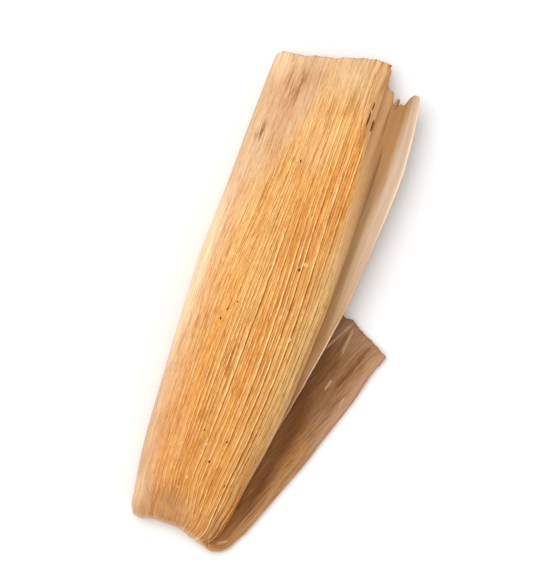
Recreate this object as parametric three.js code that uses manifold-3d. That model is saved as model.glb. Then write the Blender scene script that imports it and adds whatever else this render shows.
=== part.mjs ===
// A tamale in its corn husk, lying on its back. One dried leaf is rolled once round the filling. Its ribbed
// outer face shows on top, its narrow end is folded under the roll as a tail, and its thin margin stands out
// along the right side as a flap. The leaf and what it holds are one closed solid.
//
// Millimetres. +Z is up, +Y runs from the folded foot to the mouth. While it is being shaped, the foot lies at
// y = 0 and the roll's own axis at x = 0. The finished solid is moved so that the middle of its footprint is
// the origin.

import * as THREE from "three";
import { mergeVertices } from "three/addons/utils/BufferGeometryUtils.js";
import Module from "manifold-3d";

const wasm = await Module();
wasm.setup();

const { lerp, smoothstep } = THREE.MathUtils;

// ---- Driving dimensions -------------------------------------------------------------------------------

const FOOT_Y = 7; // where the roll starts to turn under
const MOUTH_Y = 156;
const LEAF = 0.7; // thickness of the leaf's margin, with the air between its layers
const RIB_HEIGHT = 0.34;
const MOUTH_RIBS = { from: 22, share: 0.5 }; // near the mouth the ribs sink to this share of their height

// Outline of the roll in plan, as x at a distance y from the foot.
const ROLL_LEFT = profile([
  [0, -14.2],
  [21, -17],
  [53, -18.9],
  [85, -19.8],
  [118, -19],
  [148, -18.2],
  [156, -17.9],
]);
const ROLL_RIGHT = profile([
  [0, 13.6],
  [8, 16],
  [20, 18.1],
  [32, 20.1],
  [44, 21.6],
  [66, 23.4],
  [80, 24.3],
  [100, 24.9],
  [125, 25.2],
  [156, 24.8],
]);

// Heights of the roll over the table: its crown, its belly, and the widest line on either side.
const ROLL_CROWN = profile([
  [0, 7.2],
  [7, 8.4],
  [20, 15.5],
  [42, 23.6],
  [68, 27],
  [90, 26.4],
  [112, 21.5],
  [134, 13.6],
  [148, 9],
  [156, 7.4],
]);
const ROLL_BELLY = profile([
  [0, 3.4],
  [40, 2.3],
  [60, 1.5],
  [80, 0.8],
  [98, -0.4],
  [130, -0.4],
  [144, 0.9],
  [156, 3.4],
]);
const LEFT_LINE = profile([
  [0, 5],
  [20, 8],
  [50, 11.5],
  [80, 12],
  [110, 9.6],
  [135, 6.8],
  [156, 5.2],
]);
const RIGHT_LINE = profile([
  [0, 4.8],
  [20, 6.2],
  [60, 6.2],
  [100, 4.6],
  [130, 3.6],
  [156, 4.4],
]);
const CROWN_ACROSS = 0.42; // where the crown and the belly lie, as a share of the roll's width
const BELLY_ACROSS = 0.36;

// How square-shouldered the roll's section is on either side of its crown, and how flat on either side of its
// belly. 2 would make it an ellipse.
const CROWN_POWER = { left: 2.1, right: 2.8 };
const BELLY_POWER = { left: 2.2, right: 1.6 };

// The top layer of the leaf ends along this line near the mouth, as x at y. It stands off the layer below by
// this much, growing along y and across x.
const TOP_LAYER_EDGE = profile([
  [98, 22.1],
  [110, 20.6],
  [121, 19.2],
  [134, 17.8],
  [142, 17.1],
  [150, 17.4],
  [156, 18.4],
]);
const LAYER_STEP = 0.7;
const LAYER_ALONG = [104, 128];
const LAYER_ACROSS = [0, 12];

// The mouth's upper edge in plan, as y at x: a rounded corner, a long slant, the top layer's corner, and the
// torn layer below it. The layer against the table ends sooner.
const MOUTH_EDGE = profile([
  [-18, 151.8],
  [-17.4, 154.2],
  [-15.4, 155.7],
  [-9, 156.3],
  [-2.6, 158.1],
  [4, 160],
  [14, 162.9],
  [18.8, 162.6],
  [19.4, 155.6],
  [21.7, 154.2],
  [23, 150.4],
  [24, 153],
  [24.8, 152],
]);
const MOUTH_BACK = profile([
  [-18, 151.8],
  [-15, 152.5],
  [20, 152.5],
  [22.5, 150],
  [24.8, 150.4],
]);
const MOUTH_REACH = 34; // how far back from the mouth its slant is felt
const MOUTH_SLIT = 5; // depth of the slit between the layers

// The ribs lean away from the roll's straight edges towards the mouth, by this share of its width.
const RIB_DRIFT = 0.06;

// The tail: its left and right edges beside the fold and at the cut stem, how far the right edge bows out from
// a straight line along its length, and how far the rough cut stands past a straight one across its width.
const TAIL_LEFT = { start: [-13, FOOT_Y], end: [20, 88] };
const TAIL_RIGHT = { start: [22.8, FOOT_Y - 1], end: [46.8, 73.8] };
const TAIL_BOW = profile([
  [0, -0.3],
  [0.08, 0],
  [0.3, 0.65],
  [0.42, 1],
  [0.52, 0.75],
  [0.75, 0.55],
  [0.92, -0.4],
  [1, 0],
]);
const TAIL_CUT = profile([
  [0, 0],
  [0.38, -0.7],
  [0.5, 0.7],
  [0.62, 0.25],
  [0.76, 0.55],
  [1, 0.1],
]);
const TAIL_THICKNESS = 1.8;
const TAIL_RIM = 0.8; // how far the right edge swells over the tail's middle
const TAIL_GAP = 0.5; // air between the tail and the belly on top of it
const TAIL_PRESS = [-7, -2.5]; // the belly gives way between these distances from the tail's left edge
const TAIL_PAST = [3, 13]; // and no longer does so between these distances past the cut stem

// The fold's outer edge in plan, as y at x, how far it reaches past FOOT_Y on its inner face, and how thick it
// is beside the pinched corner.
const FOLD_EDGE = profile([
  [-14, 1],
  [-12.8, -0.1],
  [-11.4, -0.1],
  [-8, 0.8],
  [-6, 1],
  [1.6, 1],
  [4, 0.5],
  [7.6, -0.7],
  [11.2, -2],
  [12.8, -2.9],
  [14.8, -3.2],
  [17.2, -2.5],
  [18.8, -1.3],
  [20.8, 2],
  [22.4, 5.8],
]);
const FOLD_INNER = 1.4;
const FOLD_THICKNESS = 1.2;

// The fold's right end in plan, as x and y at a share of the half turn. It draws in to the pinched corner, then
// runs out again along the tail's edge, and is felt from this share of the width on.
const RIM_X = profile([
  [0, 15.8],
  [0.12, 15.2],
  [0.25, 14],
  [0.36, 12.6],
  [0.45, 12.3],
  [0.64, 16],
  [0.9, 20.8],
  [1, 22.5],
]);
const RIM_Y = profile([
  [0, 7],
  [0.12, 4.9],
  [0.25, 3.2],
  [0.36, 1.8],
  [0.45, 0.6],
  [0.58, -2],
  [0.78, -1],
  [0.9, 2],
  [1, 6],
]);
const RIM_FROM = 0.25;

// The flap: x and z of its outer edge along y, and its torn end as y at a share of its width from the root.
const FLAP_FROM_Y = 26;
const FLAP_EDGE_X = profile([
  [26, 18.6],
  [38, 21.1],
  [50, 23.6],
  [68, 27],
  [86, 29.8],
  [102, 31.2],
  [118, 32.4],
  [130, 33],
  [142, 32.2],
  [155, 30.7],
]);
const FLAP_EDGE_Z = profile([
  [26, 6.8],
  [60, 9.6],
  [90, 10.6],
  [135, 10.2],
  [155, 8.8],
]);
// How far the flap's root lies inside the roll, and how far over the roll's widest line.
const FLAP_ROOT = 2.4;
const FLAP_LIFT = profile([
  [26, 0],
  [60, 1.8],
  [90, 4],
  [115, 3.8],
  [140, 3.2],
  [155, 2],
]);
const FLAP_SAG = 0.5; // depth of the valley between roll and flap
const FLAP_CURL = 1.4; // over 1, so the flap rises more steeply towards its edge
const FLAP_END = [
  [0, 148.6],
  [0.18, 149.8],
  [0.3, 151.9],
  [0.386, 151.6],
  [0.57, 154.4],
  [0.7, 155.8],
  [0.875, 155.9],
  [0.93, 155.2],
  [1, 153.6],
];

// How finely the surface is divided.
const FACE_POINTS = 56; // over the upper face and again over the lower one, one rib to every two
const ROLL_STATIONS = 22;
const FOLD_STATIONS = 9;
const TAIL_STATIONS = 12;
const FLAP_STATIONS = 26;

// ---- Curves -------------------------------------------------------------------------------------------

// A smooth curve through [position, value] pairs that never overshoots them (Fritsch and Carlson).
function profile(pairs) {
  const step = pairs.slice(1).map(([x], i) => x - pairs[i][0]);
  const chord = pairs.slice(1).map(([, v], i) => (v - pairs[i][1]) / step[i]);
  const slope = pairs.map((_, i) => {
    if (i === 0) return chord[0];
    if (i === pairs.length - 1) return chord[i - 1];
    if (chord[i - 1] * chord[i] <= 0) return 0;
    return (2 * chord[i - 1] * chord[i]) / (chord[i - 1] + chord[i]);
  });
  return (x) => {
    if (x <= pairs[0][0]) return pairs[0][1];
    if (x >= pairs[pairs.length - 1][0]) return pairs[pairs.length - 1][1];
    const i = pairs.findIndex(([next]) => next > x) - 1;
    const t = (x - pairs[i][0]) / step[i];
    const rise = (1 - t) * (1 - t) * (1 + 2 * t) * pairs[i][1] + t * t * (3 - 2 * t) * pairs[i + 1][1];
    const bend = (1 - t) * (1 - t) * t * slope[i] + t * t * (t - 1) * slope[i + 1];
    return rise + bend * step[i];
  };
}

// 1 at the peak, 0 at either end of a section, and as square-shouldered as its power says.
function dome(across, peak, power) {
  const t = across < peak ? (peak - across) / peak : (across - peak) / (1 - peak);
  return Math.pow(Math.max(0, 1 - Math.pow(t, power)), 1 / power);
}

// Shares from 0 to 1, drawn together towards both ends.
function shares(count, ease) {
  return Array.from({ length: count }, (_, i) => {
    const t = i / (count - 1);
    return lerp(t, (1 - Math.cos(Math.PI * t)) / 2, ease);
  });
}

// ---- Sections -----------------------------------------------------------------------------------------

// Where each point of a section lies: its share of the width, on which face, and on a rib or in a groove.
// The upper face runs from left to right and the lower one back.
function sectionPoints() {
  const stops = shares(FACE_POINTS + 1, 0.82).slice(0, -1);
  const upper = stops.map((across, i) => ({ across, side: 1, rib: i % 2 }));
  const lower = stops.map((across, i) => ({ across: 1 - across, side: -1, rib: i % 2 }));
  return [...upper, ...lower];
}
const POINTS = sectionPoints();

// How far a point of the belly has come over the tail: 0 beside it, 1 on top of it.
function overTail(x, y) {
  const { start, end } = TAIL_LEFT;
  const edge = lerp(start[0], end[0], (y - start[1]) / (end[1] - start[1]));
  return smoothstep(x - edge, ...TAIL_PRESS) * (1 - smoothstep(y - end[1], ...TAIL_PAST));
}

function rollHeight(x, y, across, side) {
  const line = (share) => lerp(LEFT_LINE(y), RIGHT_LINE(y), share);
  if (side > 0) {
    const rise = ROLL_CROWN(y) - line(CROWN_ACROSS);
    const power = across < CROWN_ACROSS ? CROWN_POWER.left : CROWN_POWER.right;
    return line(across) + rise * dome(across, CROWN_ACROSS, power);
  }
  const drop = line(BELLY_ACROSS) - ROLL_BELLY(y);
  const power = across < BELLY_ACROSS ? BELLY_POWER.left : BELLY_POWER.right;
  const low = line(across) - drop * dome(across, BELLY_ACROSS, power);
  return lerp(low, Math.max(low, TAIL_THICKNESS + TAIL_RIM + TAIL_GAP), overTail(x, y));
}

function rollPoint(y, { across, side }) {
  const drift = RIB_DRIFT * smoothstep(y, 50, 130) * Math.sin(2 * Math.PI * across);
  const share = across + drift;
  const x = lerp(ROLL_LEFT(y), ROLL_RIGHT(y), share);
  const end = side > 0 ? MOUTH_EDGE(x) : MOUTH_BACK(x);
  const pull = smoothstep(y, MOUTH_Y - MOUTH_REACH, MOUTH_Y);
  return new THREE.Vector3(x, y + pull * (end - MOUTH_Y), rollHeight(x, y, share, side));
}

// Height of the tail's faces: the roll's upper face has become the lower one.
function tailHeight(across, side) {
  const middle = TAIL_THICKNESS / 2;
  const square = dome(across, 0.5, 5);
  if (side > 0) return middle * (1 - square);
  const rim = TAIL_RIM * smoothstep(across, 0.78, 0.93);
  return middle + (middle + rim) * square;
}

function tailPoint(along, { across, side }) {
  const at = ({ start, end }, i) => lerp(start[i], end[i], along);
  const cut = along === 1 ? TAIL_CUT(across) : 0;
  return new THREE.Vector3(
    lerp(at(TAIL_LEFT, 0), at(TAIL_RIGHT, 0) + TAIL_BOW(along), across),
    lerp(at(TAIL_LEFT, 1), at(TAIL_RIGHT, 1), across) + cut,
    tailHeight(across, side),
  );
}

// A half turn from the roll's last section to the tail's first one. Towards its right end the leaf is drawn in
// to the pinched corner, and the two halves of the fold lie open like a mouth.
function foldPoint(turn, point) {
  const { across, side } = point;
  const from = rollPoint(FOOT_Y, point);
  const to = tailPoint(0, point);
  const turned = turn / Math.PI;
  const share = (1 - Math.cos(turn)) / 2;
  const drawnIn = Math.pow(Math.max(0, (across - RIM_FROM) / (1 - RIM_FROM)), 1.2);
  const straightX = lerp(ROLL_RIGHT(FOOT_Y), TAIL_RIGHT.start[0], share);
  const x = lerp(from.x, to.x, share) + drawnIn * (RIM_X(turned) - straightX);
  const y = lerp(from.y, to.y, share);
  const nearRim = smoothstep(across, 0.6, 1);
  const outer = y - FOLD_EDGE(x);
  const inner = lerp(FOLD_INNER, outer - FOLD_THICKNESS, nearRim);
  const fullness = turned > 0.5 ? 1 - 0.75 * nearRim : 1;
  const face = y - Math.pow(Math.sin(turn), fullness) * (side > 0 ? outer : inner);
  const middle = y - (Math.sin(turn) * (outer + FOLD_INNER)) / 2;
  const rim = across > 0.5 ? RIM_Y(turned) : middle;
  return new THREE.Vector3(x, lerp(rim, face, dome(across, 0.5, 5)), lerp(from.z, to.z, share));
}

// ---- Relief -------------------------------------------------------------------------------------------

// Ribs run the leaf's whole length. They fade on its smooth margins and towards the mouth.
function ribRelief({ across, side, rib }, y) {
  const upper = smoothstep(across, 0.05, 0.2) * (1 - smoothstep(across, 0.88, 0.95));
  const lower = smoothstep(across, 0, 0.1) * (1 - smoothstep(across, 0.9, 1));
  const strength = side > 0 ? upper : lower;
  const mouth = 1 - (1 - MOUTH_RIBS.share) * smoothstep(y, MOUTH_Y - MOUTH_RIBS.from, MOUTH_Y);
  return (rib ? 0.5 : -0.5) * RIB_HEIGHT * strength * mouth;
}

function layerRelief({ side }, { x, y }) {
  if (side < 0) return 0;
  const edge = TOP_LAYER_EDGE(y);
  const onTop = 1 - smoothstep(x, edge - 0.2, edge + 0.9);
  return LAYER_STEP * onTop * smoothstep(y, ...LAYER_ALONG) * smoothstep(x, ...LAYER_ACROSS);
}

// ---- Surfaces -----------------------------------------------------------------------------------------

// Moves every point of a grid of closed loops along its own normal, but never below the table.
function raise(rows, relief) {
  const count = rows[0].length;
  return rows.map((row, k) =>
    row.map((point, i) => {
      const before = rows[Math.max(k - 1, 0)][i];
      const after = rows[Math.min(k + 1, rows.length - 1)][i];
      const along = new THREE.Vector3().subVectors(after, before);
      const round = new THREE.Vector3().subVectors(row[(i + 1) % count], row[(i + count - 1) % count]);
      const raised = point.clone().addScaledVector(round.cross(along).normalize(), relief(k, i));
      raised.z = Math.max(0, raised.z);
      return raised;
    }),
  );
}

// Triangles of the strip between one loop of points and the next.
function stripFaces(first, count) {
  const faces = [];
  for (let i = 0; i < count; i++) {
    const [a, b] = [first + i, first + ((i + 1) % count)];
    faces.push([a, a + count, b], [b, a + count, b + count]);
  }
  return faces;
}

// Triangles that close a loop of points, zipped together from its first point on.
function capFaces(first, count) {
  const faces = [];
  let [low, high] = [first, first + count - 1];
  while (high - low > 1) {
    faces.push([low, low + 1, high]);
    low += 1;
    if (high - low > 1) faces.push([low, high - 1, high]);
    high -= 1;
  }
  return faces;
}

const turned = (faces) => faces.map(([a, b, c]) => [c, b, a]);

// A closed solid through rows of points, each row a closed loop.
function sweptSolid(rows) {
  const count = rows[0].length;
  const last = (rows.length - 1) * count;
  const strips = rows.slice(1).flatMap((_, k) => stripFaces(k * count, count));
  const faces = [...strips, ...capFaces(0, count), ...turned(capFaces(last, count))];
  const geometry = new THREE.BufferGeometry().setFromPoints(rows.flat());
  geometry.setIndex(faces.flat());
  const merged = mergeVertices(geometry, 1e-4);
  const mesh = new wasm.Mesh({
    numProp: 3,
    vertProperties: merged.attributes.position.array,
    triVerts: new Uint32Array(merged.index.array),
  });
  return new wasm.Manifold(mesh);
}

// ---- The roll with its fold and tail ------------------------------------------------------------------

// The loop inside the mouth: its edge drawn back and almost closed.
function slitLoop(lip) {
  return lip.map(({ x, y, z }, i) => {
    const middle = lerp(LEFT_LINE(MOUTH_Y), RIGHT_LINE(MOUTH_Y), POINTS[i].across);
    return new THREE.Vector3(0.97 * x, y - MOUTH_SLIT, lerp(middle, z, 0.45));
  });
}

// One sweep from the mouth down the roll, round the fold and along the tail to the cut stem.
function rollSolid() {
  const ys = shares(ROLL_STATIONS, 0.75).map((share) => lerp(MOUTH_Y, FOOT_Y, share));
  const turns = shares(FOLD_STATIONS + 2, 0).slice(1, -1).map((share) => share * Math.PI);
  const rows = [
    ...ys.map((y) => POINTS.map((point) => rollPoint(y, point))),
    ...turns.map((turn) => POINTS.map((point) => foldPoint(turn, point))),
    ...shares(TAIL_STATIONS, 0).map((along) => POINTS.map((point) => tailPoint(along, point))),
  ];
  const relief = (k, i) => {
    const y = rows[k][i].y;
    return ribRelief(POINTS[i], y) + (k < ROLL_STATIONS ? layerRelief(POINTS[i], rows[k][i]) : 0);
  };
  const raised = raise(rows, relief);
  return sweptSolid([slitLoop(raised[0]), ...raised]);
}

// ---- The flap -----------------------------------------------------------------------------------------

// A thin sheet from inside the roll's right side to its own outer edge.
function flapPoint(along, [out, endY], face) {
  const y = lerp(endY, FLAP_FROM_Y, along);
  const root = ROLL_RIGHT(y) - FLAP_ROOT;
  const x = lerp(root, Math.max(root + 1, FLAP_EDGE_X(y)), out);
  const middle = lerp(RIGHT_LINE(y) + FLAP_LIFT(y), FLAP_EDGE_Z(y), Math.pow(out, FLAP_CURL));
  const z = middle - FLAP_SAG * Math.sin(Math.PI * out);
  return new THREE.Vector3(x, y, z + face * 0.5 * LEAF);
}

function flapSolid() {
  const rows = shares(FLAP_STATIONS, 0).map((along) => [
    ...FLAP_END.map((stop) => flapPoint(along, stop, 1)),
    ...FLAP_END.toReversed().map((stop) => flapPoint(along, stop, -1)),
  ]);
  return sweptSolid(rows);
}

// ---- The part -----------------------------------------------------------------------------------------

function geometryOf(solid) {
  const { vertProperties, triVerts, numProp } = solid.getMesh();
  const geometry = new THREE.BufferGeometry();
  geometry.setAttribute("position", new THREE.BufferAttribute(vertProperties.slice(), numProp));
  geometry.setIndex(new THREE.BufferAttribute(triVerts.slice(), 1));
  geometry.computeVertexNormals();
  return geometry;
}

// Stands a geometry on the table with the middle of its footprint at the origin.
function centreOnTable(geometry) {
  geometry.computeBoundingBox();
  const { min, max } = geometry.boundingBox;
  return geometry.translate(-(min.x + max.x) / 2, -(min.y + max.y) / 2, -min.z);
}

function husk() {
  const geometry = centreOnTable(geometryOf(rollSolid().add(flapSolid())));
  const material = new THREE.MeshStandardMaterial({ color: 0xe3a45f, roughness: 0.62, metalness: 0 });
  const mesh = new THREE.Mesh(geometry, material);
  mesh.name = "husk";
  return mesh;
}

const part = new THREE.Group();
part.add(husk());

export default part;
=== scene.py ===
"""A tamale in its corn husk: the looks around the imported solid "husk".

The leaf is built again from the sizes of the solid, with many more points: ribs, pleats, free edges, torn
ends and the layers inside the mouth. It is shaped in millimetres, with the foot of the roll at y = 0 and the
roll's axis at x = 0, and then moved to the frame.
"""

import math

import bpy
import numpy as np
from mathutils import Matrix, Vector


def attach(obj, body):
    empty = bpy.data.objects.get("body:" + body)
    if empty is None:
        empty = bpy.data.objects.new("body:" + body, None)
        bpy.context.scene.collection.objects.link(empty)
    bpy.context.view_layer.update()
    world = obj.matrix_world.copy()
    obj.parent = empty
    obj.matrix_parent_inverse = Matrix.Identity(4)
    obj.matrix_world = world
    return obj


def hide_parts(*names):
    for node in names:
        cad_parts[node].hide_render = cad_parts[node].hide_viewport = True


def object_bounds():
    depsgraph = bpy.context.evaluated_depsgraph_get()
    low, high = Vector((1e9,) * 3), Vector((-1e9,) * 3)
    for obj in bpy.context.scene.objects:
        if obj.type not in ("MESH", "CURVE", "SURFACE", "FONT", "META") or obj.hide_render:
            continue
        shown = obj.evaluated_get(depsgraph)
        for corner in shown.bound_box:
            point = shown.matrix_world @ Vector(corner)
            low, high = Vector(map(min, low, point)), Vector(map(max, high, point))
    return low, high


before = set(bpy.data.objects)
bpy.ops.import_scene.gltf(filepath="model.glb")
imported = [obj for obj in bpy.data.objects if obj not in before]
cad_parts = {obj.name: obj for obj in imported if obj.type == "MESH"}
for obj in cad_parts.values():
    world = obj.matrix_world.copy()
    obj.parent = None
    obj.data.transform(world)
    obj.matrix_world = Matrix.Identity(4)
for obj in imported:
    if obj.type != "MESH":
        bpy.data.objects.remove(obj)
cad_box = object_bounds()

MM = 0.001

# ---- Curves, noise and soft patches ----


def blend(a, b, share):
    return a + (b - a) * share


def smooth(x, low, high):
    """Rises smoothly from 0 at low to 1 at high."""
    t = np.clip((x - low) / (high - low), 0, 1)
    return t * t * (3 - 2 * t)


def fade(x, low, high):
    return 1 - smooth(x, low, high)


def window(x, low, full, falls, end):
    """Rises from 0 at low to 1 at full, and falls back to 0 between the last two."""
    return smooth(x, low, full) * fade(x, falls, end)


def curve(*pairs):
    """A smooth curve through (position, value) pairs that never overshoots them (Fritsch and Carlson)."""
    at, value = np.array(pairs, float).T
    step = np.diff(at)
    chord = np.diff(value) / step
    product = chord[:-1] * chord[1:]
    total = chord[:-1] + chord[1:]
    inner = np.where(product > 0, 2 * product / np.where(total == 0, 1, total), 0)
    slope = np.concatenate([chord[:1], inner, chord[-1:]])

    def read(x):
        x = np.clip(x, at[0], at[-1])
        i = np.clip(np.searchsorted(at, x, side="right") - 1, 0, len(step) - 1)
        t = (x - at[i]) / step[i]
        rise = (1 - t) ** 2 * (1 + 2 * t) * value[i] + t * t * (3 - 2 * t) * value[i + 1]
        bend = (1 - t) ** 2 * t * slope[i] + t * t * (t - 1) * slope[i + 1]
        return rise + bend * step[i]

    return read


def noise(x, y, seed):
    """Smooth noise from -1 to 1, with one lattice cell to a unit of x and y."""
    size = 128
    table = np.random.default_rng(seed).uniform(-1, 1, (size, size))
    x, y = np.broadcast_arrays(x, y)
    column, row = np.floor(x).astype(int), np.floor(y).astype(int)
    across, down = smooth(x - column, 0, 1), smooth(y - row, 0, 1)

    def corner(i, j):
        return table[(column + i) % size, (row + j) % size]

    low = blend(corner(0, 0), corner(1, 0), across)
    high = blend(corner(0, 1), corner(1, 1), across)
    return blend(low, high, down)


def waves(x, y, *layers):
    """A sum of noises, each with its height, its cells to a unit of x and of y, and its seed."""
    return sum(height * noise(x * in_x, y * in_y, seed) for height, in_x, in_y, seed in layers)


def dome(across, peak, power):
    """A section: 1 at its peak and 0 at both ends, 0 and 1. A higher power makes it fuller."""
    t = np.where(across < peak, (peak - across) / peak, (across - peak) / (1 - peak))
    return np.maximum(0, 1 - np.clip(t, 0, 1) ** power) ** (1 / power)


def ridge(away, width):
    """1 on a line and fading to 0 at some widths from it."""
    return np.exp(-((away / width) ** 2))


def spot(x, y, place, reach):
    """A soft round or long patch: 1 at its place, 0 beyond its reach."""
    distance = np.hypot((x - place[0]) / reach[0], (y - place[1]) / reach[1])
    return fade(distance, 0.2, 1)


def patches(x, y, places):
    """A sum of soft patches, each with its strength, its place and its reach."""
    return sum(strength * spot(x, y, place, reach) for strength, place, reach in places)


# ---- Sizes of the leaf, as in the solid ----

FOOT_Y = 7.0
MOUTH_Y = 156.0

ROLL_LEFT = curve((0, -14.2), (21, -17), (53, -18.9), (85, -19.8), (118, -19), (148, -18.2), (156, -17.9))
ROLL_RIGHT = curve(
    (0, 13.6), (8, 16), (14, 17.3), (20, 18.1), (32, 20.1), (44, 21.6),
    (54, 22.6), (66, 23.4), (80, 24.3), (100, 24.9), (125, 25.2), (156, 24.8),
)
ROLL_CROWN = curve(
    (0, 7.2), (7, 8.4), (20, 15.5), (42, 23.6), (68, 27),
    (90, 26.4), (112, 21.5), (134, 13.6), (148, 9), (156, 7.4),
)
ROLL_BELLY = curve(
    (0, 3.4), (40, 2.3), (60, 1.5), (80, 0.8), (98, -0.4), (130, -0.4), (144, 0.9), (156, 3.4)
)
LEFT_LINE = curve((0, 5), (20, 8), (50, 11.5), (80, 12), (110, 9.6), (135, 6.8), (156, 5.2))
RIGHT_LINE = curve((0, 4.8), (20, 6.2), (60, 6.2), (100, 4.6), (130, 3.6), (156, 4.4))
CROWN_ACROSS = 0.42
CROWN_POWERS = (2.1, 2.8)  # of its section, left and right of the crown
BELLY_ACROSS = 0.36
BELLY_POWERS = (2.2, 1.6)
RIB_DRIFT = 0.06
RIB_DRIFT_Y = (50, 130)  # where it begins and where it is full

FRONT_EDGE = curve(
    (0, 13.3), (8, 15.7), (20, 17.8), (39, 20.7), (63, 22.8), (75, 23.4), (86, 23.2),
    (98, 22.1), (110, 20.6), (121, 19.2), (134, 17.8), (142, 17.1), (150, 17.4), (156, 18.4),
)
LAYER_STEP = 0.8
LAYER_THICKNESS = 0.35
LAYER_UNDERCUT = 2.6
LAYER_OPENS = (124, 146)  # it lies flat below the first y and stands clear above the second
RIDGE_X = 13.5  # the last strong rib near the mouth, where the front turns down to its free edge

MOUTH_EDGE = curve(
    (-18, 151.8), (-17.4, 154.2), (-15.4, 155.7), (-9, 156.3), (-6.4, 157.2), (-2.6, 158.1), (4, 160),
    (14, 162.9), (18.8, 162.6), (19.4, 155.6), (21.7, 154.2), (23, 150.4), (24, 153), (24.8, 152),
)
MOUTH_TEARS = ((0.28, 0.7, 3.5, 11), (0.16, 2.6, 1.5, 12))
MOUTH_CORNER_Y = 162.9
MOUTH_BACK = curve((-18, 151.8), (-15, 152.5), (20, 152.5), (22.5, 150), (24.8, 150.4))
MOUTH_BACK_TEARS = ((0.3, 0.9, 0.5, 13),)
MOUTH_REACH = 34.0

TAIL_LEFT = ((-13, FOOT_Y), (20, 88))
TAIL_RIGHT = ((22.8, FOOT_Y - 1), (46.8, 73.8))
TAIL_BOW = curve(
    (0, -0.3), (0.08, 0), (0.3, 0.65), (0.42, 1), (0.52, 0.75), (0.75, 0.55), (0.92, -0.4), (1, 0)
)
TAIL_CUT = curve((0, 0), (0.38, -0.7), (0.5, 0.7), (0.62, 0.25), (0.76, 0.55), (1, 0.1))
TAIL_TEARS = ((0.35, 14, 0.5, 21), (0.2, 45, 0.5, 22))
TAIL_TORN_FROM = 0.86  # of the tail's length
TAIL_THICKNESS = 1.8
TAIL_RIM = 0.8
TAIL_RIM_ACROSS = (0.78, 0.93)
TAIL_GAP = 0.5
SQUARE = 5  # the power of a section with square edges

FOLD_EDGE = curve(
    (-14, 1), (-12.8, -0.1), (-11.4, -0.1), (-8, 0.8), (-6, 1), (1.6, 1), (4, 0.5), (7.6, -0.7),
    (11.2, -2), (12.8, -2.9), (14.8, -3.2), (17.2, -2.5), (18.8, -1.3), (20.8, 2), (22.4, 5.8),
)
FOLD_INNER = 1.4
FOLD_THICKNESS = 1.2  # of the leaf beside the pinched corner
# The right end of the fold, as x and y at a share of the half turn: in to the pinched corner, then out again
# along the tail's edge.
RIM_X = curve(
    (0, 15.8), (0.12, 15.2), (0.25, 14), (0.36, 12.6), (0.45, 12.3), (0.64, 16), (0.9, 20.8), (1, 22.5)
)
RIM_Y = curve(
    (0, 7), (0.12, 4.9), (0.25, 3.2), (0.36, 1.8), (0.45, 0.6), (0.58, -2), (0.78, -1), (0.9, 2), (1, 6)
)
RIM_FROM = 0.25  # how far across the fold that line begins to be felt
RIM_POWER = 1.2
FOLD_LENGTH = 12.0  # of leaf in the half turn
TAIL_LENGTH = 86.0

FLAP_FROM_Y = 26.0
FLAP_EDGE_X = curve(
    (26, 18.6), (38, 21.1), (50, 23.6), (68, 27), (86, 29.8),
    (102, 31.2), (118, 32.4), (130, 33), (142, 32.2), (155, 30.7),
)
FLAP_EDGE_TEARS = (0.12, 0.25, 0.5, 52)
FLAP_EDGE_Z = curve((26, 6.8), (60, 9.6), (90, 10.6), (135, 10.2), (155, 8.8))
FLAP_ROOT = 2.4
# How high the flap's root lies over the roll's side line.
FLAP_LIFT = curve((26, 0), (60, 1.8), (90, 4), (115, 3.8), (140, 3.2), (155, 2))
FLAP_SAG = 0.5
FLAP_CURL = 1.4
FLAP_WAVES = (0.25, 0.06, 1.5, 53)
FLAP_END = curve(
    (0, 148.6), (0.18, 149.8), (0.3, 151.9), (0.386, 151.6), (0.57, 154.4),
    (0.7, 155.8), (0.875, 155.9), (0.93, 155.2), (1, 153.6),
)
FLAP_END_TEARS = (0.12, 30, 0.5, 51)
FLAP_THICKNESS = 0.4
FLAP_THIN_EDGE = 0.35  # the share of that thickness left at its edge

# How finely the leaf is divided.
PLAIN_STEPS = 320  # over each face, before the columns are laid on it
LEFT_COLUMNS = 256
LIP_COLUMNS = 16
RIGHT_COLUMNS = 26
LOWER_COLUMNS = 96
ROLL_ROWS = 150
FOLD_ROWS = 24
TAIL_ROWS = 56
FLAP_GRID = (64, 230)  # points across each face and along
INNER_LAYER_GRID = (90, 40)

# ---- The bare surface: a loop of leaf swept down the roll, round the fold and along the tail ----


def over_tail(x, y):
    """How far a point of the belly has come over the tail: 0 beside it, 1 on top of it."""
    (start_x, start_y), (end_x, end_y) = TAIL_LEFT
    edge = blend(start_x, end_x, (y - start_y) / (end_y - start_y))
    return smooth(x - edge, -7, -2.5) * fade(y, end_y + 3, end_y + 13)


def side_line(y, share):
    """The height between the roll's upper and lower face, at a share of its width."""
    return blend(LEFT_LINE(y), RIGHT_LINE(y), share)


def roll_height(x, y, across, upper):
    peak, powers = (CROWN_ACROSS, CROWN_POWERS) if upper else (BELLY_ACROSS, BELLY_POWERS)
    section = dome(across, peak, np.where(across < peak, *powers))
    if upper:
        return side_line(y, across) + (ROLL_CROWN(y) - side_line(y, peak)) * section
    low = side_line(y, across) - (side_line(y, peak) - ROLL_BELLY(y)) * section
    return blend(low, np.maximum(low, TAIL_THICKNESS + TAIL_RIM + TAIL_GAP), over_tail(x, y))


def mouth_pull(y):
    """How far the ragged mouth has pulled the leaf's rows with it: 0 far below it, 1 at its edge."""
    return smooth(y, MOUTH_Y - MOUTH_REACH, MOUTH_Y)


def rib_drift(y):
    return RIB_DRIFT * smooth(y, *RIB_DRIFT_Y)


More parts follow.
